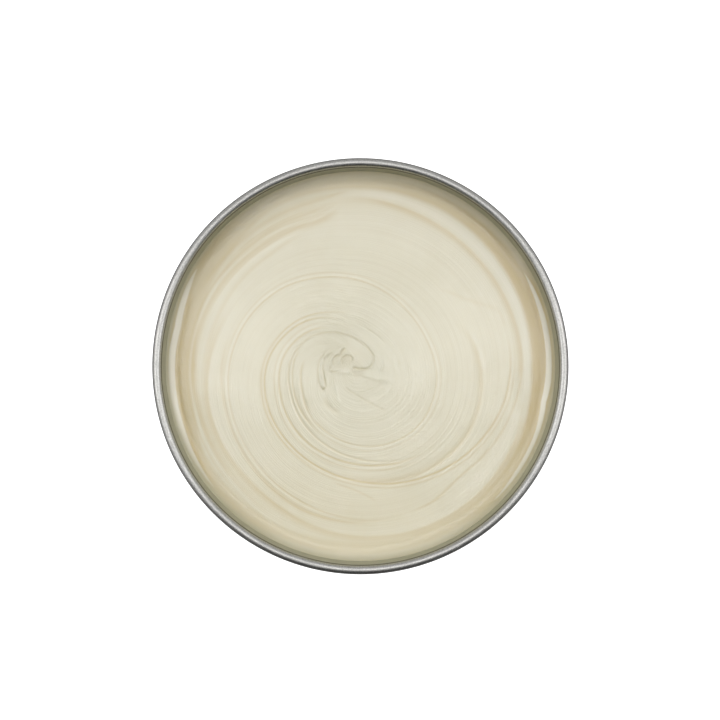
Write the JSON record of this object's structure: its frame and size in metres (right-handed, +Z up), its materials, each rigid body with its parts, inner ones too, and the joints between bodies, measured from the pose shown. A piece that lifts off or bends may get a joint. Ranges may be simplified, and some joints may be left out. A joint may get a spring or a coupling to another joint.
{
  "type": "shoe polish tin",
  "caption": "Round open tin of cream shoe polish with a rolled rim, standing in its own upturned press-on lid.",
  "frame": {"origin": "centre of the upturned lid's underside, on the surface it stands on", "axes": "+Z up, along the axis of the tin and the lid; +X and +Y are alike, because every piece is turned about Z"},
  "size_m": [0.087, 0.087, 0.026],
  "materials": {
    "tinplate": "satin bare tinplate with a clear inside lacquer",
    "lid_plate": "satin bare tinplate, turned marks on the panel",
    "seal": "matt grey flowed-in compound",
    "polish": "soft satin cream wax with tan swirls"
  },
  "bodies": {
    "lid": {"lid_shell": "lid_plate", "lid_seal": "seal"},
    "tin": {"tin_base": "tinplate", "polish": "polish"}
  },
  "joints": [
    {"name": "tin_lift", "type": "slide", "parent": "lid", "child": "tin", "axis": [0, 0, 1], "range_m": [0, 0.04]}
  ]
}
